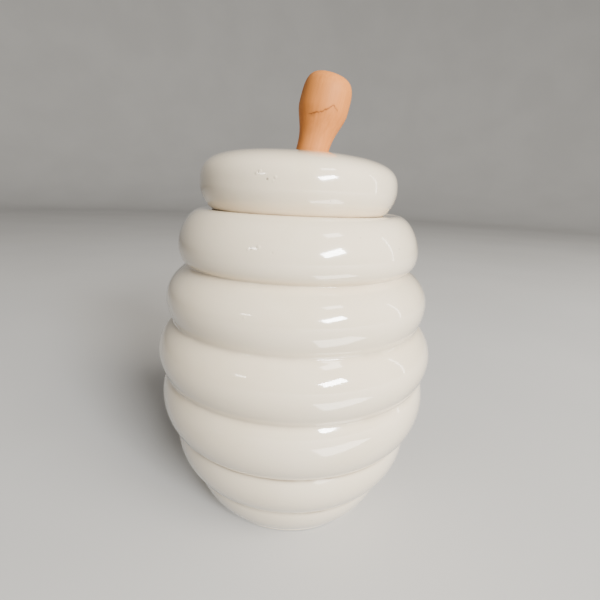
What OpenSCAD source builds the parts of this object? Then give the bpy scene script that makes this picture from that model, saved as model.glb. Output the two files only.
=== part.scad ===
// Beehive-shaped ceramic pot for honey: a ringed pot, a loose domed lid with a
// hole in its crown, and a turned wooden dipper that stands in the pot and
// leans in the hole. The lid has no hinge and no knob: the dipper's handle is
// what is held. All sizes in millimetres, +Z up, origin at the centre of the
// foot, on the surface that the pot stands on.

/* [Pot rings] */
// Height of the plain band at the base
band_h = 13.5; // [12:0.1:15]
// Height of the lowest full ring
ring5_h = 16.1; // [14:0.1:18]
// Height of the fourth ring
ring4_h = 18.2; // [16:0.1:21]
// Height of the third ring, the widest
ring3_h = 17.6; // [15:0.1:21]
// Height of the second ring
ring2_h = 17.2; // [15:0.1:21]
// Height of the first ring, up to the seat of the lid
ring1_h = 16.5; // [14.5:0.1:20]
// Diameter of the foot
foot_d = 51.8; // [50:0.2:56]
// Diameter in the groove above the base band
groove5_d = 68.2; // [66:0.1:71]
// Diameter in the groove above the lowest ring
groove4_d = 79.2; // [76:0.1:81]
// Diameter in the groove above the fourth ring
groove3_d = 84.5; // [82:0.1:86]
// Diameter in the groove above the third ring
groove2_d = 80.0; // [77:0.1:82]
// Diameter in the groove above the second ring
groove1_d = 69.8; // [67:0.1:72]
// Diameter where the first ring's shoulder turns flat
shoulder_d = 57.8; // [57.6:0.1:60]

/* [Pot wall] */
// Thickness of the wall, measured at the grooves
wall = 4.4; // [3.6:0.1:5]
// Thickness of the floor
floor_h = 6.0; // [5:0.1:7]
// Diameter of the mouth
mouth_d = 49.0; // [48.8:0.1:49.6]
// Depth of the recess under the foot
recess_h = 1.4; // [0.8:0.1:2.5]
// Diameter of the recess under the foot
recess_d = 40.0; // [34:0.5:43]

/* [Lid] */
// Widest diameter of the lid
lid_d = 61.1; // [60.6:0.1:62.5]
// Height of the lid from its seat to its crown
lid_h = 17.6; // [17.2:0.1:19]
// Height of the lid's widest line above its seat
lid_bulge_h = 6.6; // [6:0.1:7.6]
// Diameter of the lid where it meets the seat
lid_seat_d = 53.6; // [53.2:0.1:54.4]
// Thickness of the lid's shell
lid_wall = 4.6; // [4:0.1:5.2]
// Diameter of the hole in the crown
hole_d = 17.7; // [17.6:0.1:18.2]
// Outer diameter of the locating rim under the lid
rim_d = 46.0; // [45.2:0.1:46.2]
// Depth of the locating rim under the seat
rim_h = 4.0; // [3:0.1:4.2]
// How far the loose lid sits off the pot's axis, away from the dipper's lean
lid_off = 0.6; // [0.4:0.1:0.7]

/* [Dipper] */
// Lean of the dipper from the vertical, in degrees
lean = 13.0; // [12.6:0.1:13.4]
// Length of the dipper
dipper_l = 135.3; // [133:0.1:138]
// Diameter of the knob at its widest
knob_d = 15.0; // [12.5:0.1:15.4]
// Diameter of the handle where it leaves the lid
neck_d = 9.9; // [9:0.1:9.9]
// Thinnest diameter of the handle, above the head
shank_d = 8.4; // [7.6:0.1:8.8]
// Diameter of the grooved head at its widest
head_d = 20.0; // [18:0.1:20.2]
// Length of the grooved head
head_l = 34.0; // [30:0.1:34.5]
// Number of grooves in the head
grooves = 7; // [5:1:8]
// Depth of the grooves
groove_depth = 3.6; // [2.5:0.1:4]

/* [Hidden] */
$fn = 96;
steps = 9;                     // facets along the profile of each ring
glaze = [0.89, 0.86, 0.80];
wood = [0.78, 0.55, 0.32];

// levels of the grooves and of the seat, from the foot upward
levels = [0, band_h, band_h + ring5_h, band_h + ring5_h + ring4_h,
          band_h + ring5_h + ring4_h + ring3_h,
          band_h + ring5_h + ring4_h + ring3_h + ring2_h,
          band_h + ring5_h + ring4_h + ring3_h + ring2_h + ring1_h];
seat_z = levels[6];
radii = [foot_d, groove5_d, groove4_d, groove3_d, groove2_d, groove1_d, shoulder_d] / 2;
// how far each ring stands out from the line between its two grooves, and
// how square its back is: a smaller number is squarer
bulge = [1.8, 2.4, 3.2, 3.8, 4.4, 5.5];
square = [0.9, 0.94, 0.76, 0.93, 0.96, 0.44];

// One ring's outline from groove to groove. t runs 0 to 1 along the chord, the
// points crowd toward the grooves, and out is the standing-out in millimetres.
function ring(z0, r0, z1, r1, out, sq, n, last) =
    let (len = norm([z1 - z0, r1 - r0]), nz = -(r1 - r0) / len, nr = (z1 - z0) / len)
    [for (i = [0 : last ? n : n - 1])
        let (t = (1 + sin(-90 + 180 * i / n)) / 2,
             w = 2 * t - 1,
             o = out * pow(max(0, 1 - w * w), sq))
        [r0 + (r1 - r0) * t + nr * o, z0 + (z1 - z0) * t + nz * o]];

// Outline of the outside of the pot, foot to seat
outside = [for (k = [0 : 5])
    each ring(levels[k], radii[k], levels[k + 1], radii[k + 1], bulge[k], square[k], steps, k == 5)];

// The inside follows the rings softly, a wall's thickness in from the grooves
floor_corner = 6.9;
inside_r0 = radii[1] - wall - 0.3;
inside = concat(
    [[0, floor_h]],
    [for (i = [0 : 6]) let (a = -90 + 90 * i / 6)
        [inside_r0 - floor_corner + floor_corner * cos(a), floor_h + floor_corner + floor_corner * sin(a)]],
    [for (k = [1 : 4])
        each ring(levels[k] + (k == 1 ? 2.6 : 0), radii[k] - wall + (k == 1 ? 0.1 : 0), levels[k + 1], radii[k + 1] - wall,
                  bulge[k] * 0.45, 1, 5, false)],
    ring(levels[5], radii[5] - wall, seat_z - 5.2, mouth_d / 2 + 0.4, 2.2, 0.8, 6, false),
    [[mouth_d / 2, seat_z - 4.6]]);

// A quarter round from angle a0 to a1 about a centre
function round_off(c, r, a0, a1, n) =
    [for (i = [0 : n]) let (a = a0 + (a1 - a0) * i / n) c + r * [cos(a), sin(a)]];

lip_r = 0.9;                   // rounding of the mouth's lip
foot_r = 1.4;                  // rounding of the foot's outer edge
// The foot's edge turns up from the flat of the foot into the band
first = [for (p = outside) if (p[1] > foot_r * 0.8) p][0];
foot_edge = [for (i = [0 : 5])
    let (t = i / 6, a = [first[0] - foot_r, 0], c = [first[0], 0])
        (1 - t) * (1 - t) * a + 2 * t * (1 - t) * c + t * t * first];
module pot() {
    color(glaze)
        difference() {
            rotate_extrude()
                polygon(concat(
                    [[0, 0]],
                    foot_edge,
                    [for (p = outside) if (p[1] > foot_r * 0.8) p],
                    round_off([mouth_d / 2 + lip_r, seat_z - lip_r], lip_r, 90, 180, 5),
                    [for (i = [len(inside) - 1 : -1 : 0]) inside[i]]));
            translate([0, 0, -1]) cylinder(h = 1 + recess_h, d = recess_d);
        }
}

// Outline of the lid's outside, from the seat over the widest line to the hole
under_sq = 1.36;               // roundness of the lid below its widest line
function lid_low(n) = [for (i = [0 : n - 1]) let (a = 90 * i / n)
    [lid_seat_d / 2 + (lid_d - lid_seat_d) / 2 * pow(sin(a), under_sq),
     seat_z + lid_bulge_h * (1 - pow(cos(a), under_sq))]];
function lid_top(n, rr, z0, h, stop) = [for (i = [0 : n])
    let (a = 90 * i / n, r = rr * pow(cos(a), 2 / 3.6), z = z0 + h * pow(sin(a), 2 / 3.3))
    if (r > stop) [r, z]];

edge_r = 1.6;                  // rounding of the hole's upper edge
edge_low_r = 1.0;              // rounding of the hole's lower edge
cup_z = seat_z + lid_bulge_h - 1.5;
crown_z = seat_z + lid_h;
under_z = crown_z - lid_wall;
module lid() {
    color(glaze)
        translate([-lid_off, 0, 0]) rotate_extrude()
            polygon(concat(
                [[rim_d / 2, seat_z], [lid_seat_d / 2 - 0.25, seat_z]],
                [for (p = lid_low(10)) if (p[1] > seat_z + 0.25) p],
                lid_top(22, lid_d / 2, seat_z + lid_bulge_h, lid_h - lid_bulge_h, hole_d / 2 + edge_r + 0.4),
                round_off([hole_d / 2 + edge_r, crown_z - edge_r], edge_r, 90, 180, 6),
                round_off([hole_d / 2 + edge_low_r, under_z + edge_low_r], edge_low_r, 180, 270, 5),
                [for (q = [len(cup) - 1 : -1 : 0]) cup[q]],
                round_off([rim_d / 2 - 3.4 + 1.1, seat_z - rim_h + 1.1], 1.1, 180, 270, 4),
                round_off([rim_d / 2 - 1.1, seat_z - rim_h + 1.1], 1.1, 270, 360, 4)));
}
// Underside of the lid, from the locating rim up to the hole
cup = [for (p = lid_top(12, rim_d / 2 - 3.4 + 4.2, cup_z, under_z - cup_z, hole_d / 2 + edge_low_r + 0.5)) p];

// Dipper profile along its own axis, from the tip (0) to the end of the knob
function head_r(s) = let (u = (s - head_l * 0.53) / (head_l * 0.60))
    head_d / 2 * sqrt(max(0.02, 1 - u * u));
pitch = (head_l - 5.0) / grooves;
function slot(k) = 3.6 + pitch * (k + 0.5);
slot_w = pitch * 0.46;

// Handle radius from the head to the knob: thin above the head, swelling to
// the neck, then the pear-shaped knob with its blunt round end
neck_z = dipper_l - 21.5;       // where the neck starts to swell
knob_z = dipper_l - 9.4;        // the knob's widest line
function bell(x) = x <= 0 ? 0 : x >= 1 ? 1 : x * x * (3 - 2 * x);
function handle_r(s) =
    s < neck_z ?
        shank_d / 2 + (neck_d - shank_d) / 2 * bell((s - head_l) / (neck_z - head_l)) :
        neck_d / 2 + (knob_d - neck_d) / 2 * bell(pow((s - neck_z) / (knob_z - neck_z), 1.34));
module dipper_body() {
    rotate_extrude()
        polygon(concat(
            [[0, 0]],
            round_off([head_r(0.0) * 0.55, 1.6], 1.6, -90, -20, 4),
            [for (i = [1 : 20]) let (s = head_l * i / 20) [head_r(s), s]],
            [[shank_d / 2 + 1.0, head_l + 0.35], [shank_d / 2 + 0.2, head_l + 1.6]],
            [for (i = [1 : 14]) let (s = head_l + 1.6 + (neck_z - head_l - 1.6) * i / 14) [handle_r(s), s]],
            [for (i = [1 : 9]) let (s = neck_z + (knob_z - neck_z) * i / 9) [handle_r(s), s]],
            [for (i = [1 : 9]) let (a = 90 * i / 9)
                [a < 90 ? knob_d / 2 * pow(cos(a), 2 / 4) : 0, knob_z + 9.4 * pow(sin(a), 2 / 3.7)]]));
}
module dipper() {
    foot_x = 2.93 - 117 * tan(lean);
    color(wood)
        translate([foot_x + dipper_foot * sin(lean), 0, dipper_foot * cos(lean)])
            rotate([0, lean, 0])
                difference() {
                    dipper_body();
                    for (k = [0 : grooves - 1])
                        translate([0, 0, slot(k) - slot_w / 2])
                            difference() {
                                cylinder(h = slot_w, r = head_d);
                                translate([0, 0, -1]) cylinder(h = slot_w + 2, r = max(2.6, head_r(slot(k)) - groove_depth));
                            }
                }
}
// Distance along the dipper's line from the level of the foot to its tip
dipper_foot = (floor_h + 1.0) / cos(lean);

pot();
lid();
dipper();
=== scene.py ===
import math

import bpy
import numpy as np
from mathutils import Matrix, Vector


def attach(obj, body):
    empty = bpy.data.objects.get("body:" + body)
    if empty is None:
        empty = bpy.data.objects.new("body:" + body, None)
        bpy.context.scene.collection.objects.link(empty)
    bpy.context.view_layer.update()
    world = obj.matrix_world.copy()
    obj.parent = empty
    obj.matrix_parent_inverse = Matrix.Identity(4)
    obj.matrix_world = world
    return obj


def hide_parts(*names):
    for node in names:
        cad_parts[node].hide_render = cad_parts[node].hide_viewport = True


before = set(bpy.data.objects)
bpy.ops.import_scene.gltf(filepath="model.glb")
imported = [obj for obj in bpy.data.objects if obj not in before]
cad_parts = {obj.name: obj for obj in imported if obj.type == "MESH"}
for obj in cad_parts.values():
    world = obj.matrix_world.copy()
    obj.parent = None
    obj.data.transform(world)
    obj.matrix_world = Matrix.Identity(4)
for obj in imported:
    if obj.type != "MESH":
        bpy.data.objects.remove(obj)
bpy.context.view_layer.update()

MM = 0.001

# ---------------------------------------------------------------- outlines
# All outlines are (radius, height) in millimetres on the same dimensions as
# the frame: ring levels, groove radii, how far each ring stands out.
HEIGHTS = [13.5, 16.1, 18.2, 17.6, 17.2, 16.5]
LEVELS = [0.0]
for h in HEIGHTS:
    LEVELS.append(LEVELS[-1] + h)
RADII = [d / 2 for d in (51.8, 68.2, 79.2, 84.5, 80.0, 69.8, 57.8)]
BULGE = [1.8, 2.4, 3.2, 3.8, 4.4, 5.5]
SQUARE = [0.9, 0.94, 0.76, 0.93, 0.96, 0.44]
SEAT = LEVELS[6]
WALL, FLOOR_H, MOUTH_R, FOOT_R = 4.4, 6.0, 24.5, 1.4
LID_R, LID_H, LID_BULGE, LID_SEAT_R, LID_OFF = 30.55, 17.6, 6.6, 26.8, 0.6
LID_WALL, HOLE_R, RIM_R, RIM_H = 4.6, 8.85, 23.0, 4.0
LEAN, DIPPER_L, DIPPER_X = math.radians(13.0), 135.3, 2.93


def ring(z0, r0, z1, r1, out, sq, n):
    """A bulging ring's outline from groove to groove, crowded toward the grooves."""
    i = np.arange(n + 1)
    t = (1 + np.sin(np.radians(-90 + 180 * i / n))) / 2
    w = 2 * t - 1
    o = out * np.clip(1 - w * w, 0, None) ** sq
    length = math.hypot(z1 - z0, r1 - r0)
    nz, nr = -(r1 - r0) / length, (z1 - z0) / length
    return np.stack([r0 + (r1 - r0) * t + nr * o, z0 + (z1 - z0) * t + nz * o], 1)


def arc(cx, cy, r, a0, a1, n):
    a = np.radians(np.linspace(a0, a1, n + 1))
    return np.stack([cx + r * np.cos(a), cy + r * np.sin(a)], 1)


def tidy(p, gap=1e-4):
    """The same line with repeated points left out."""
    keep = [0]
    for i in range(1, len(p)):
        if np.hypot(*(p[i] - p[keep[-1]])) > gap:
            keep.append(i)
    return p[keep]


def resample(p, step):
    """Points a given step apart along a line; step may be a function of place."""
    p = tidy(p)
    s = np.r_[0, np.cumsum(np.hypot(*(p[1:] - p[:-1]).T))]
    n = max(2, int(round(s[-1] / step)))
    t = np.linspace(0, s[-1], n + 1)
    return np.stack([np.interp(t, s, p[:, 0]), np.interp(t, s, p[:, 1])], 1)


def soften(p, spread, step):
    """Rounds a line resampled at step, by a running average whose width in
    millimetres is spread at each point. The ends stay."""
    n = len(p)
    out = p.copy()
    for i in range(n):
        w = spread[i]
        k = int(math.ceil(3 * w / step))
        k = min(k, i, n - 1 - i)
        if k < 1 or w <= 0:
            continue
        j = np.arange(-k, k + 1)
        g = np.exp(-0.5 * (j * step / w) ** 2)
        g /= g.sum()
        out[i] = (p[i - k : i + k + 1] * g[:, None]).sum(0)
    return out


def thin_out(p, tol, longest):
    """Drops points of a fine line where it runs nearly straight."""
    keep = [0]
    i = 0
    while i < len(p) - 1:
        j = i + 1
        while j + 1 < len(p):
            a, b = p[i], p[j + 1]
            d = b - a
            length = np.hypot(*d)
            if length > longest:
                break
            m = p[i + 1 : j + 1] - a
            off = np.abs(m[:, 0] * d[1] - m[:, 1] * d[0]) / length
            if off.max() > tol:
                break
            j += 1
        keep.append(j)
        i = j
    return p[keep]


# ------------------------------------------------------------ smooth noise
def hash01(*k):
    n = 0
    for v in k:
        n = (n * 73856093) ^ (int(v) * 19349663 + 83492791)
        n &= 0xFFFFFFFF
        n ^= n >> 13
        n = (n * 0x5BD1E995) & 0xFFFFFFFF
        n ^= n >> 15
    return n / 0xFFFFFFFF


def around(phi, seed, waves=(1, 2, 3, 5), fall=0.6):
    """A smooth closed curve of the angle, about -1 to 1."""
    v = np.zeros_like(phi)
    a, total = 1.0, 0.0
    for k in waves:
        v += a * np.cos(k * phi + 2 * math.pi * hash01(seed, k))
        total += a
        a *= fall
    return v / total


# ------------------------------------------------------------------ meshes
def lathe(name, line, turns, closed=False, shape=None, extra=None):
    """Turns an outline about Z. closed joins its last point to its first.
    shape(r, z, phi, s) returns r, z changed; s is the row's number. extra is a
    dict of one value per outline point, kept as point attributes."""
    n = len(line)
    phi = np.arange(turns) * 2 * math.pi / turns
    verts, faces, rows = [], [], []
    values = {k: [] for k in (extra or {})}
    for i, (r, z) in enumerate(line):
        if r < 1e-6:
            rows.append([len(verts)])
            zz = float(np.mean(shape(np.zeros(turns), np.full(turns, z), phi, i)[1])) if shape else z
            verts.append((0.0, 0.0, zz * MM))
            for k in values:
                values[k].append(extra[k][i])
            continue
        rr, zz = np.full(turns, float(r)), np.full(turns, float(z))
        if shape:
            rr, zz = shape(rr, zz, phi, i)
        rows.append(list(range(len(verts), len(verts) + turns)))
        for j in range(turns):
            verts.append((rr[j] * math.cos(phi[j]) * MM, rr[j] * math.sin(phi[j]) * MM, zz[j] * MM))
        for k in values:
            values[k].extend([extra[k][i]] * turns)
    for i in range(n if closed else n - 1):
        a, b = rows[i], rows[(i + 1) % n]
        if len(a) == 1 and len(b) == 1:
            continue
        for j in range(turns):
            k = (j + 1) % turns
            if len(a) == 1:
                faces.append((a[0], b[k], b[j]))
            elif len(b) == 1:
                faces.append((a[j], a[k], b[0]))
            else:
                faces.append((a[j], a[k], b[k], b[j]))
    me = bpy.data.meshes.new(name)
    me.from_pydata(verts, [], faces)
    for k, v in values.items():
        at = me.attributes.new(k, "FLOAT", "POINT")
        at.data.foreach_set("value", np.array(v, np.float32))
    me.update()
    me.shade_smooth()
    ob = bpy.data.objects.new(name, me)
    bpy.context.scene.collection.objects.link(ob)
    return ob


# ---------------------------------------------------------------------- pot
STEP = 0.12
parts = [ring(LEVELS[k], RADII[k], LEVELS[k + 1], RADII[k + 1], BULGE[k], SQUARE[k], 160) for k in range(6)]
outer = np.concatenate(parts)
outer = outer[outer[:, 1] > FOOT_R * 0.8]
t = np.linspace(0, 1, 13)[:-1, None]
first, corner = outer[0], np.array([outer[0][0], 0.0])
foot_edge = (1 - t) ** 2 * (corner - [FOOT_R, 0]) + 2 * t * (1 - t) * corner + t * t * first
outside = np.concatenate([foot_edge, outer])
lip = np.concatenate([[[MOUTH_R + 0.95, SEAT]], arc(MOUTH_R + 0.9, SEAT - 0.9, 0.9, 90, 180, 10)])
inside_r0 = RADII[1] - WALL - 0.3
inside = [np.array([[0, FLOOR_H]]), arc(inside_r0 - 6.9, FLOOR_H + 6.9, 6.9, -90, 0, 16)]
for k in range(1, 5):
    lowest = k == 1
    inside.append(ring(LEVELS[k] + (2.6 if lowest else 0), RADII[k] - WALL + (0.1 if lowest else 0),
                       LEVELS[k + 1], RADII[k + 1] - WALL, BULGE[k] * 0.45, 1, 40))
inside.append(ring(LEVELS[5], RADII[5] - WALL, SEAT - 5.2, MOUTH_R + 0.4, 2.2, 0.8, 40))
inside.append(np.array([[MOUTH_R, SEAT - 4.6]]))
inside = np.concatenate(inside)

out_fine = resample(np.concatenate([outside, lip]), STEP)
# The upper three grooves are filled with glaze, the lower ones are crisp
FILL = {1: 0.16, 2: 0.20, 3: 0.50, 4: 0.60, 5: 0.60}
spread = np.full(len(out_fine), 0.0)
for k, w in FILL.items():
    d = np.hypot(out_fine[:, 0] - RADII[k], out_fine[:, 1] - LEVELS[k])
    spread = np.maximum(spread, w * np.clip(1.6 - d / (2.2 + 2 * w), 0, 1))
spread[out_fine[:, 1] > SEAT - 1.5] = np.maximum(spread[out_fine[:, 1] > SEAT - 1.5], 0.25)
out_soft = soften(out_fine, spread, STEP)
out_soft = thin_out(out_soft, 0.006, 0.75)
in_soft = resample(inside, 0.25)
in_soft = soften(in_soft, np.full(len(in_soft), 0.9), 0.25)
in_soft = thin_out(in_soft, 0.01, 1.6)

RECESS_R, RECESS_H = 20.0, 1.4
under = np.concatenate([[[0, RECESS_H]], arc(RECESS_R - 0.5, RECESS_H - 0.5, 0.5, 90, 0, 5),
                        arc(RECESS_R + 0.4, 0.4, 0.4, 180, 270, 5)])
pot_line = tidy(np.concatenate([under, out_soft, in_soft[::-1]]), 0.01)
pot_line[0, 0] = pot_line[-1, 0] = 0.0


def groove_pool_and_shade(line):
    """1 at the bottom of a groove, falling away on both rings; it marks thicker glaze and painted shade in the
    groove.
    """
    v = np.zeros(len(line))
    on_outside = line[:, 0] > np.interp(line[:, 1], LEVELS, np.array(RADII) - 2.0)
    for k, w in FILL.items():
        # the crisp lower grooves take the strongest painted shade, centred a little below the groove
        d = np.hypot(line[:, 0] - RADII[k], line[:, 1] - LEVELS[k] + (0.25 if w < 0.3 else 0))
        v = np.maximum(v, (0.36 if w > 0.3 else 0.85) * np.exp(-((d / (0.28 + 1.3 * w)) ** 2)))
    return np.where(on_outside, v, 0)


def pot_shape(r, z, phi, i):
    """The slight unevenness of a slip-cast and hand-finished pot."""
    if i < len(under) + 2:
        return r, z
    low = np.clip((z - 1.0) / 12, 0, 1)
    high = np.clip((SEAT - 3.0 - z) / 8, 0, 1)
    give = low * high
    wob = 0.0
    for k in range(1, 6):
        near = np.exp(-(((z - LEVELS[k]) / 9.0) ** 2))
        wob = wob + near * around(phi, 11 * k, (1, 2, 3, 4, 6), 0.62)
    return (r * (1 + 0.0022 * give * around(phi, 5, (2, 3, 5), 0.6)) + 0.10 * give * wob,
            z + 0.22 * give * wob)


pot = lathe("pot_body", pot_line, 240, shape=pot_shape, extra={"pool_and_shade": groove_pool_and_shade(pot_line)})
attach(pot, "pot")
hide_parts("pot")


# ---------------------------------------------------------------------- lid
def lid_low(n):
    a = np.radians(np.linspace(0, 90, n + 1)[:-1])
    return np.stack([LID_SEAT_R + (LID_R - LID_SEAT_R) * np.sin(a) ** 1.36,
                     SEAT + LID_BULGE * (1 - np.cos(a) ** 1.36)], 1)


def lid_top(n, rr, z0, h, stop):
    a = np.radians(np.linspace(0, 90, n + 1)[:-1])
    p = np.stack([rr * np.cos(a) ** (2 / 3.6), z0 + h * np.sin(a) ** (2 / 3.3)], 1)
    return p[p[:, 0] > stop]


CROWN = SEAT + LID_H
UNDER = CROWN - LID_WALL
EDGE, EDGE_LOW = 1.6, 1.0
lid_out = np.concatenate([
    [[RIM_R + 0.15, SEAT], [LID_SEAT_R - 0.45, SEAT]],
    lid_low(60)[4:],
    lid_top(200, LID_R, SEAT + LID_BULGE, LID_H - LID_BULGE, HOLE_R + EDGE + 0.3),
    arc(HOLE_R + EDGE, CROWN - EDGE, EDGE, 90, 180, 14),
    arc(HOLE_R + EDGE_LOW, UNDER + EDGE_LOW, EDGE_LOW, 180, 270, 10)])
cup_z = SEAT + LID_BULGE - 1.5
lid_in = np.concatenate([
    lid_top(60, RIM_R - 3.4 + 4.2, cup_z, UNDER - cup_z, HOLE_R + EDGE_LOW + 0.5)[::-1],
    arc(RIM_R - 3.4 + 1.1, SEAT - RIM_H + 1.1, 1.1, 180, 270, 6),
    arc(RIM_R - 1.1, SEAT - RIM_H + 1.1, 1.1, 270, 360, 6)])
lo = resample(lid_out, STEP)
sp = np.full(len(lo), 0.30)
sp[(lo[:, 1] < SEAT + 0.7)] = 0.12
sp[(lo[:, 1] < SEAT + 0.02) & (lo[:, 0] < LID_SEAT_R - 0.8)] = 0
lo = thin_out(soften(lo, sp, STEP), 0.006, 0.75)
li = resample(lid_in, 0.25)
li = thin_out(soften(li, np.full(len(li), 0.35), 0.25), 0.01, 1.4)
lid_line = tidy(np.concatenate([lo, li]), 0.02)


def lid_shape(r, z, phi, i):
    """The crown stands a little higher on one side, as on the real lid."""
    up = np.clip((z - (SEAT + 1.5)) / (LID_H - 1.5), 0, 1) ** 1.3
    out = np.clip((r - HOLE_R - 1.0) / 10, 0, 1)
    lift = -0.55 * up * out * r * np.cos(phi) / 25 + 0.05 * up * out * around(phi, 3, (2, 3, 5), 0.6)
    return r + 0.07 * up * out * around(phi, 8, (2, 3, 4), 0.6), z + lift


# the lid's groove values darken a thin band round its lower edge where it sits on the pot: a painted contact
# shadow
lid = lathe("lid_dome", lid_line, 224, closed=True, shape=lid_shape,
            extra={"pool_and_shade": np.exp(-((lid_line[:, 1] - SEAT) / 0.5) ** 2) * (lid_line[:, 0] > RIM_R + 0.5)})
lid.data.transform(Matrix.Translation((-LID_OFF * MM, 0, 0)))
lid.data.update()
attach(lid, "lid")
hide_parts("lid")


# ------------------------------------------------------------------- dipper
HEAD_L, HEAD_R, GROOVES, DEPTH = 34.0, 10.0, 7, 3.6
SHANK_R, NECK_R, KNOB_R = 4.2, 4.95, 7.5
NECK_Z, KNOB_Z = DIPPER_L - 21.5, DIPPER_L - 9.4


def head_r(s):
    u = (s - HEAD_L * 0.53) / (HEAD_L * 0.60)
    return HEAD_R * math.sqrt(max(0.02, 1 - u * u))


def bell(x):
    x = np.clip(x, 0, 1)
    return x * x * (3 - 2 * x)


def handle_r(s):
    return np.where(s < NECK_Z, SHANK_R + (NECK_R - SHANK_R) * bell((s - HEAD_L) / (NECK_Z - HEAD_L)),
                    NECK_R + (KNOB_R - NECK_R) * bell(np.clip((s - NECK_Z) / (KNOB_Z - NECK_Z), 0, 1) ** 1.34))


PITCH = (HEAD_L - 5.0) / GROOVES
SLOT_W = PITCH * 0.46
line = [[0, 0]]
line += arc(head_r(0) * 0.55, 1.6, 1.6, -90, -20, 6).tolist()
for s in np.arange(1.6, HEAD_L, 0.1):
    line.append([head_r(s), s])
line = np.array(line)
pieces = []
cuts = [(3.6 + PITCH * (k + 0.5) - SLOT_W / 2, 3.6 + PITCH * (k + 0.5) + SLOT_W / 2) for k in range(GROOVES)]
at = 0.0
for a, b in cuts:
    seg = line[(line[:, 1] >= at - 1e-9) & (line[:, 1] < a)] if at else line[line[:, 1] < a]
    pieces.append(seg)
    mid = (a + b) / 2
    bottom = max(2.6, head_r(mid) - DEPTH) + 0.02
    pieces.append(np.array([[head_r(a), a], [bottom, a], [bottom, b], [head_r(b), b]]))
    at = b + 1e-6
pieces.append(line[line[:, 1] > at])
pieces.append(np.array([[head_r(HEAD_L), HEAD_L], [SHANK_R + 1.0, HEAD_L + 0.35], [SHANK_R + 0.2, HEAD_L + 1.6]]))
s = np.linspace(HEAD_L + 1.6, KNOB_Z, 220)[1:]
pieces.append(np.stack([handle_r(s), s], 1))
a = np.radians(np.linspace(0, 90, 60))[1:]
pieces.append(np.stack([np.where(a < math.pi / 2 - 1e-6, KNOB_R * np.clip(np.cos(a), 0, None) ** (2 / 4), 0), KNOB_Z + 9.4 * np.sin(a) ** (2 / 3.7)], 1))
dip = resample(np.concatenate(pieces), 0.1)
sp = np.where(dip[:, 1] < HEAD_L + 3, 0.20, 0.35)
dip = thin_out(soften(dip, sp, 0.1), 0.006, 1.5)
dip[0] = [0, dip[0, 1]]
dip[-1] = [0, dip[-1, 1]]


def dipper_shape(r, z, phi, i):
    give = bell((z - NECK_Z - 2) / 8)
    end = np.clip((z - KNOB_Z) / (DIPPER_L - KNOB_Z), 0, 1)
    return (r * (1 + 0.010 * give * around(phi, 21, (2, 3), 0.5)),
            z - 0.15 * end * r * np.cos(phi) / KNOB_R)


dipper = lathe("dipper_turned", dip, 96, shape=dipper_shape)
FOOT = (FLOOR_H + 1.0) / math.cos(LEAN)
place = Matrix.Translation(Vector(((DIPPER_X - 117 * math.tan(LEAN) + FOOT * math.sin(LEAN)) * MM, 0, FOOT * math.cos(LEAN) * MM))) @ Matrix.Rotation(LEAN, 4, "Y")
dipper.data.transform(place)
dipper.data.update()
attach(dipper, "dipper")
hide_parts("dipper")


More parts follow.
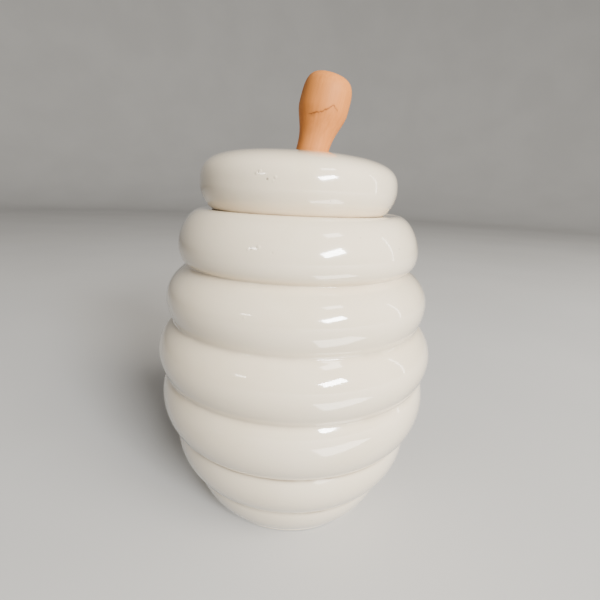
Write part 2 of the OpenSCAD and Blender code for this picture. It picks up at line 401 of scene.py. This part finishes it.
# ---------------------------------------------------------------- materials
class Nodes:
    """Short calls for building a node tree."""

    def __init__(self, name):
        self.mat = bpy.data.materials.new(name)
        self.mat.use_nodes = True
        self.t = self.mat.node_tree
        self.t.nodes.clear()
        self.out = self.t.nodes.new("ShaderNodeOutputMaterial")
        self.shader = self.t.nodes.new("ShaderNodeBsdfPrincipled")
        self.link(self.shader.outputs[0], self.out.inputs[0])

    def link(self, a, b):
        self.t.links.new(a, b)

    def put(self, socket, v):
        if isinstance(v, bpy.types.NodeSocket):
            self.link(v, socket)
        else:
            socket.default_value = v

    def new(self, kind, **kw):
        n = self.t.nodes.new(kind)
        for k, v in kw.items():
            setattr(n, k, v)
        return n

    def where(self):
        return self.new("ShaderNodeTexCoord").outputs["Object"]

    def attribute(self, name):
        n = self.new("ShaderNodeAttribute")
        n.attribute_name = name
        return n.outputs["Fac"]

    def noise(self, vec, scale, detail=2.0, rough=0.5, distort=0.0):
        n = self.new("ShaderNodeTexNoise")
        self.put(n.inputs["Vector"], vec)
        n.inputs["Scale"].default_value = scale
        n.inputs["Detail"].default_value = detail
        n.inputs["Roughness"].default_value = rough
        n.inputs["Distortion"].default_value = distort
        return n.outputs["Fac"]

    def math(self, op, a, b=0.0, c=0.0, clamp=False):
        n = self.new("ShaderNodeMath", operation=op)
        n.use_clamp = clamp
        self.put(n.inputs[0], a)
        self.put(n.inputs[1], b)
        self.put(n.inputs[2], c)
        return n.outputs[0]

    def ramp(self, v, lo, hi, a=0.0, b=1.0, kind="SMOOTHSTEP"):
        n = self.new("ShaderNodeMapRange", interpolation_type=kind)
        self.put(n.inputs["Value"], v)
        n.inputs["From Min"].default_value = lo
        n.inputs["From Max"].default_value = hi
        n.inputs["To Min"].default_value = a
        n.inputs["To Max"].default_value = b
        return n.outputs[0]

    def mix(self, fac, a, b, blend="MIX"):
        n = self.new("ShaderNodeMix", data_type="RGBA", blend_type=blend)
        self.put(n.inputs[0], fac)
        self.put(n.inputs[6], a if isinstance(a, bpy.types.NodeSocket) else (*a, 1.0))
        self.put(n.inputs[7], b if isinstance(b, bpy.types.NodeSocket) else (*b, 1.0))
        return n.outputs[2]

    def split(self, vec):
        n = self.new("ShaderNodeSeparateXYZ")
        self.link(vec, n.inputs[0])
        return n.outputs

    def join(self, x, y, z):
        n = self.new("ShaderNodeCombineXYZ")
        for i, v in enumerate((x, y, z)):
            self.put(n.inputs[i], v)
        return n.outputs[0]

    def mapped(self, vec, loc=(0, 0, 0), rot=(0, 0, 0), scale=(1, 1, 1), kind="POINT"):
        n = self.new("ShaderNodeMapping", vector_type=kind)
        self.link(vec, n.inputs["Vector"])
        n.inputs["Location"].default_value = loc
        n.inputs["Rotation"].default_value = rot
        n.inputs["Scale"].default_value = scale
        return n.outputs[0]

    def near(self, vec, point, radius, soft):
        """1 within radius of a point, 0 past radius + soft."""
        n = self.new("ShaderNodeVectorMath", operation="DISTANCE")
        self.link(vec, n.inputs[0])
        n.inputs[1].default_value = point
        return self.ramp(n.outputs["Value"], radius + soft, radius)

    def bump(self, height, distance, strength=1.0, normal=None):
        n = self.new("ShaderNodeBump")
        n.inputs["Strength"].default_value = strength
        n.inputs["Distance"].default_value = distance
        self.link(height, n.inputs["Height"])
        if normal is not None:
            self.link(normal, n.inputs["Normal"])
        return n.outputs[0]


def glaze_material(name, pits=(), foot=False):
    m = Nodes(name)
    p = m.where()
    wide = m.noise(p, 22.0, 3.0, 0.55, 0.3)
    cloud = m.noise(m.mapped(p, loc=(0.31, 0.12, 0.05), scale=(1, 1, 1.8)), 70.0, 4.0, 0.6)
    colour = m.mix(m.ramp(wide, 0.35, 0.68), (0.825, 0.708, 0.528), (0.860, 0.748, 0.578))
    colour = m.mix(m.ramp(cloud, 0.48, 0.75, 0.0, 0.35), colour, (0.790, 0.660, 0.468))
    # thicker, greyer glaze lies in the grooves, and the colour is darkened past that as painted shade of the
    # grooves
    pool_and_shade = m.attribute("pool_and_shade")
    uneven = m.ramp(m.noise(p, 160.0, 2.0), 0.3, 0.7, 0.55, 1.0)
    colour = m.mix(m.math("MULTIPLY", pool_and_shade, uneven), colour, (0.300, 0.215, 0.135))
    # faint iron specks in the body, showing through
    v = m.new("ShaderNodeTexVoronoi", feature="F1")
    m.link(p, v.inputs["Vector"])
    v.inputs["Scale"].default_value = 260.0
    v.inputs["Randomness"].default_value = 1.0
    few = m.ramp(m.split(v.outputs["Color"])[0], 0.93, 0.935)
    speck = m.math("MULTIPLY", m.ramp(v.outputs["Distance"], 0.075, 0.03), few)
    colour = m.mix(m.math("MULTIPLY", speck, 0.55), colour, (0.33, 0.25, 0.18))
    holes = None
    for point, radius, dark, depth in pits:
        h = m.near(p, point, radius * 0.25, radius * 0.9)
        if dark:
            colour = m.mix(m.math("MULTIPLY", h, dark), colour, (0.20, 0.15, 0.11))
        h = m.math("MULTIPLY", h, depth)
        holes = h if holes is None else m.math("ADD", holes, h)
    rough = m.ramp(m.noise(p, 45.0, 3.0), 0.3, 0.75, 0.09, 0.17)
    wave = m.noise(p, 85.0, 2.0, 0.45)
    fine = m.noise(p, 420.0, 2.0, 0.5)
    height = m.math("ADD", wave, m.math("MULTIPLY", fine, 0.12))
    if holes is not None:
        height = m.math("SUBTRACT", height, holes)
    if foot:
        z = m.split(p)[2]
        x, y = m.split(p)[0], m.split(p)[1]
        rad = m.math("SQRT", m.math("ADD", m.math("MULTIPLY", x, x), m.math("MULTIPLY", y, y)))
        edge = m.math("MULTIPLY", m.ramp(m.noise(p, 300.0, 3.0), 0.3, 0.7, -0.00018, 0.00018), 1.0)
        bare = m.math("MULTIPLY", m.ramp(m.math("ADD", z, edge), 0.00062, 0.00034), m.ramp(rad, 0.0195, 0.0200))
        grain = m.noise(p, 1800.0, 3.0, 0.7)
        body = m.mix(m.ramp(grain, 0.35, 0.65), (0.69, 0.62, 0.53), (0.76, 0.70, 0.61))
        worn = m.ramp(m.noise(p, 120.0, 4.0, 0.6), 0.52, 0.72, 0.0, 0.5)
        body = m.mix(worn, body, (0.50, 0.44, 0.37))
        colour = m.mix(bare, colour, body)
        rough = m.math("MAXIMUM", rough, m.math("MULTIPLY", bare, 0.88))
        height = m.math("ADD", height, m.math("MULTIPLY", m.math("MULTIPLY", grain, bare), 0.9))
        coat = m.math("SUBTRACT", 1.0, bare)
        m.link(coat, m.shader.inputs["Coat Weight"])
    else:
        m.shader.inputs["Coat Weight"].default_value = 1.0
    m.link(colour, m.shader.inputs["Base Color"])
    m.link(rough, m.shader.inputs["Roughness"])
    m.shader.inputs["IOR"].default_value = 1.5
    m.shader.inputs["Coat Roughness"].default_value = 0.025
    m.shader.inputs["Coat IOR"].default_value = 1.5
    m.link(m.bump(height, 0.00010), m.shader.inputs["Normal"])
    return m.mat


def wood_material(name):
    m = Nodes(name)
    p = m.mapped(m.where(), loc=tuple(place.translation), rot=(0, LEAN, 0), kind="TEXTURE")
    x, y, s = m.split(p)
    # growth rings of a plank, nearly flat across the thin dowel, bent a little
    bend = m.noise(m.mapped(p, scale=(60, 60, 9)), 1.0, 3.0, 0.5)
    across = m.math("ADD", m.math("MULTIPLY", x, 0.55), m.math("MULTIPLY", y, 0.84))
    across = m.math("ADD", across, m.math("MULTIPLY", bend, 0.0045))
    rings = m.math("FRACT", m.math("MULTIPLY", across, 620.0))
    late = m.math("MULTIPLY", m.ramp(rings, 0.45, 0.92), m.ramp(rings, 1.0, 0.93))
    streak = m.noise(m.mapped(p, scale=(1500, 1500, 45)), 1.0, 4.0, 0.6)
    fibre = m.noise(m.mapped(p, loc=(0.02, 0.01, 0.0), scale=(5200, 5200, 160)), 1.0, 3.0, 0.6)
    patch = m.noise(m.mapped(p, scale=(130, 130, 60)), 1.0, 2.0, 0.5)
    colour = m.mix(m.ramp(streak, 0.3, 0.72), (0.560, 0.196, 0.041), (0.635, 0.234, 0.055))
    colour = m.mix(m.math("MULTIPLY", late, 0.16), colour, (0.455, 0.160, 0.036))
    colour = m.mix(m.ramp(patch, 0.45, 0.75, 0.0, 0.35), colour, (0.660, 0.260, 0.069))
    colour = m.mix(m.ramp(fibre, 0.58, 0.80, 0.0, 0.32), colour, (0.385, 0.135, 0.030))
    # a short healed split climbs across the front of the knob and hooks down
    turn = m.math("ARCTAN2", y, x)
    wig = m.math("SUBTRACT", m.noise(m.join(m.math("MULTIPLY", turn, 3.1), 0.3, 0.7), 2.3, 3.0, 0.55), 0.5)
    line_s = m.math("ADD", SPLIT_S * MM, m.ramp(turn, -2.10, -1.56, 0.0, 0.0017, "LINEAR"))
    line_s = m.math("ADD", line_s, m.ramp(turn, -1.56, -1.24, 0.0, 0.0020, "LINEAR"))
    line_s = m.math("SUBTRACT", line_s, m.ramp(turn, -1.22, -0.98, 0.0, 0.0009, "LINEAR"))
    line_s = m.math("ADD", line_s, m.math("MULTIPLY", wig, 0.0016))
    off = m.math("ABSOLUTE", m.math("SUBTRACT", s, line_s))
    arc_on = m.math("MULTIPLY", m.ramp(turn, -2.22, -2.10), m.ramp(turn, -0.94, -1.04))
    thick = m.noise(m.join(turn, 0.0, 0.0), 5.0, 2.0)
    split_line = m.math("MULTIPLY", m.ramp(off, 0.00034, 0.00006), arc_on)
    split_line = m.math("MULTIPLY", split_line, m.ramp(thick, 0.30, 0.62, 0.35, 1.0))
    halo = m.math("MULTIPLY", m.ramp(off, 0.0011, 0.0), arc_on)
    start = m.near(p, (6.76 * MM * math.cos(-1.96), 6.76 * MM * math.sin(-1.96), 0.12263), 0.0002, 0.0009)
    halo = m.math("MAXIMUM", halo, m.math("MULTIPLY", start, 1.6))
    colour = m.mix(m.math("MULTIPLY", halo, 0.30), colour, (0.370, 0.125, 0.027))
    colour = m.mix(m.math("MULTIPLY", split_line, 0.72), colour, (0.225, 0.070, 0.016))
    # the head has soaked up a little more than the handle
    dark = m.ramp(s, 0.040, 0.030, 0.0, 0.30)
    colour = m.mix(dark, colour, (0.400, 0.150, 0.038))
    m.link(colour, m.shader.inputs["Base Color"])
    m.link(m.ramp(streak, 0.3, 0.75, 0.46, 0.60), m.shader.inputs["Roughness"])
    m.shader.inputs["Specular IOR Level"].default_value = 0.28
    m.shader.inputs["IOR"].default_value = 1.45
    height = m.math("SUBTRACT", m.math("MULTIPLY", fibre, -0.5), m.math("MULTIPLY", split_line, 2.0))
    height = m.math("ADD", height, m.math("MULTIPLY", late, 0.25))
    m.link(m.bump(height, 0.00006), m.shader.inputs["Normal"])
    return m.mat


SPLIT_S = 122.3

# place, radius, darkness, depth (below 0 is a bead that stands out)
LID_PITS = [((-0.00832, -0.02950, 0.10798), 0.00040, 0.70, 0.9), ((-0.01014, -0.02868, 0.10980), 0.00060, 0, -1.1),
            ((-0.01101, -0.02850, 0.10931), 0.00048, 0, -0.9), ((-0.00623, -0.02992, 0.10852), 0.00050, 0, -0.9),
            ((-0.00682, -0.02988, 0.10756), 0.00030, 0, -0.4)]
POT_PITS = [((-0.01146, -0.03564, 0.09166), 0.00050, 0.30, 0.9), ((-0.00950, -0.03605, 0.09216), 0.00060, 0, -1.1),
            ((-0.01215, -0.03545, 0.09130), 0.00040, 0, -0.6), ((-0.00617, -0.03710, 0.09102), 0.00036, 0.05, 0.5),
            ((-0.01236, -0.03980, 0.07542), 0.00040, 0, -0.6)]
glaze = glaze_material("glaze_pot", POT_PITS, foot=True)
lid_glaze = glaze_material("glaze_lid", LID_PITS)
wood = wood_material("turned_wood")
pot.data.materials.append(glaze)
lid.data.materials.append(lid_glaze)
dipper.data.materials.append(wood)


# -------------------------------------------------------------------- stage
def floor_mesh():
    """A wide round floor that curves up into a wall all the way round."""
    prof = [(0.0, 0.0), (0.4, 0.0), (1.7, 0.0)]
    for i in range(1, 17):
        t = math.pi / 2 * i / 16
        prof.append((1.7 + 0.7 * math.sin(t), 0.7 * (1 - math.cos(t))))
    prof.append((2.4, 2.6))
    return lathe("floor", [(r / MM, z / MM) for r, z in prof], 96)


floor = floor_mesh()
fm = Nodes("floor_paper")
fp = fm.where()
fm.link(fm.mix(fm.ramp(fm.noise(fp, 6.0, 3.0), 0.3, 0.7), (0.52, 0.515, 0.505), (0.545, 0.54, 0.53)), fm.shader.inputs["Base Color"])
fm.shader.inputs["Roughness"].default_value = 0.85
fm.shader.inputs["Specular IOR Level"].default_value = 0.2
floor.data.materials.append(fm.mat)
floor.visible_diffuse = False

world = bpy.data.worlds.new("studio")
world.use_nodes = True
world.node_tree.nodes["Background"].inputs[0].default_value = (1.0, 0.97, 0.93, 1)
world.node_tree.nodes["Background"].inputs[1].default_value = 0.27
bpy.context.scene.world = world


def area(name, at, to, size, size_y, watts, colour=(1, 1, 1), spread=180):
    data = bpy.data.lights.new(name, "AREA")
    data.shape = "RECTANGLE"
    data.size, data.size_y = size, size_y
    data.energy = watts
    data.color = colour
    data.spread = math.radians(spread)
    ob = bpy.data.objects.new(name, data)
    bpy.context.scene.collection.objects.link(ob)
    ob.location = at
    ob.rotation_euler = (Vector(to) - Vector(at)).to_track_quat("-Z", "Y").to_euler()
    ob.visible_camera = False
    return ob


window = area("window", (0.60, -0.96, 0.52), (0, 0, 0.08), 0.44, 0.19, 24, (0.95, 0.98, 1.0))
window.rotation_euler.rotate_axis("Z", math.radians(24))
area("upper", (0.52, -0.54, 1.08), (0, 0, 0.08), 0.30, 0.16, 1.9, (1.0, 0.97, 0.92))
area("strip", (1.12, 0.06, 0.36), (0, 0, 0.08), 0.035, 0.70, 0.9, (1.0, 0.95, 0.88))
area("glint", (-0.75, -0.86, 0.55), (0, 0, 0.08), 0.17, 0.06, 0.75, (1.0, 0.95, 0.88))
# a small bright card on the table, seen only as the soft marks low on each ring
card = area("card", (0.075, -0.108, 0.004), (0.075, -0.108, 1), 0.09, 0.05, 0.13, (1.0, 0.97, 0.92))
card.visible_diffuse = False
# the broad light that shapes the pot is left out of the glaze's reflections
wash = area("wash", (0.95, -0.95, 0.80), (0, 0, 0.06), 1.2, 1.2, 46, (1.0, 0.93, 0.82))
wash.visible_glossy = False

# ------------------------------------------------------------------- camera
F, DIST, RISE = 400.0, 131.64, 105.48
PITCH_A, ROLL_A, YAW_A = math.radians(15.225), math.radians(2.495), math.radians(-0.579)
c, s_ = math.cos(YAW_A), math.sin(YAW_A)
Ry = np.array([[c, s_, 0], [-s_, c, 0], [0, 0, 1]])
R0 = np.array([[1, 0, 0], [0, 0, -1], [0, 1, 0]], float)
c, s_ = math.cos(PITCH_A), math.sin(PITCH_A)
Rp = np.array([[1, 0, 0], [0, c, -s_], [0, s_, c]])
c, s_ = math.cos(ROLL_A), math.sin(ROLL_A)
Rr = np.array([[c, -s_, 0], [s_, c, 0], [0, 0, 1]])
R = Rr @ Rp @ R0 @ Ry
cam_data = bpy.data.cameras.new("view")
cam_data.sensor_fit = "HORIZONTAL"
cam_data.sensor_width = 36.0
cam_data.lens = F / 600 * 36
cam_data.clip_start = 0.01
cam = bpy.data.objects.new("view", cam_data)
bpy.context.scene.collection.objects.link(cam)
right, up, back = Vector(R[0]), Vector(-R[1]), Vector(-R[2])
M = Matrix((right, up, back)).transposed().to_4x4()
M.translation = Vector((0, -DIST * MM, RISE * MM))
cam.matrix_world = M
bpy.context.scene.camera = cam
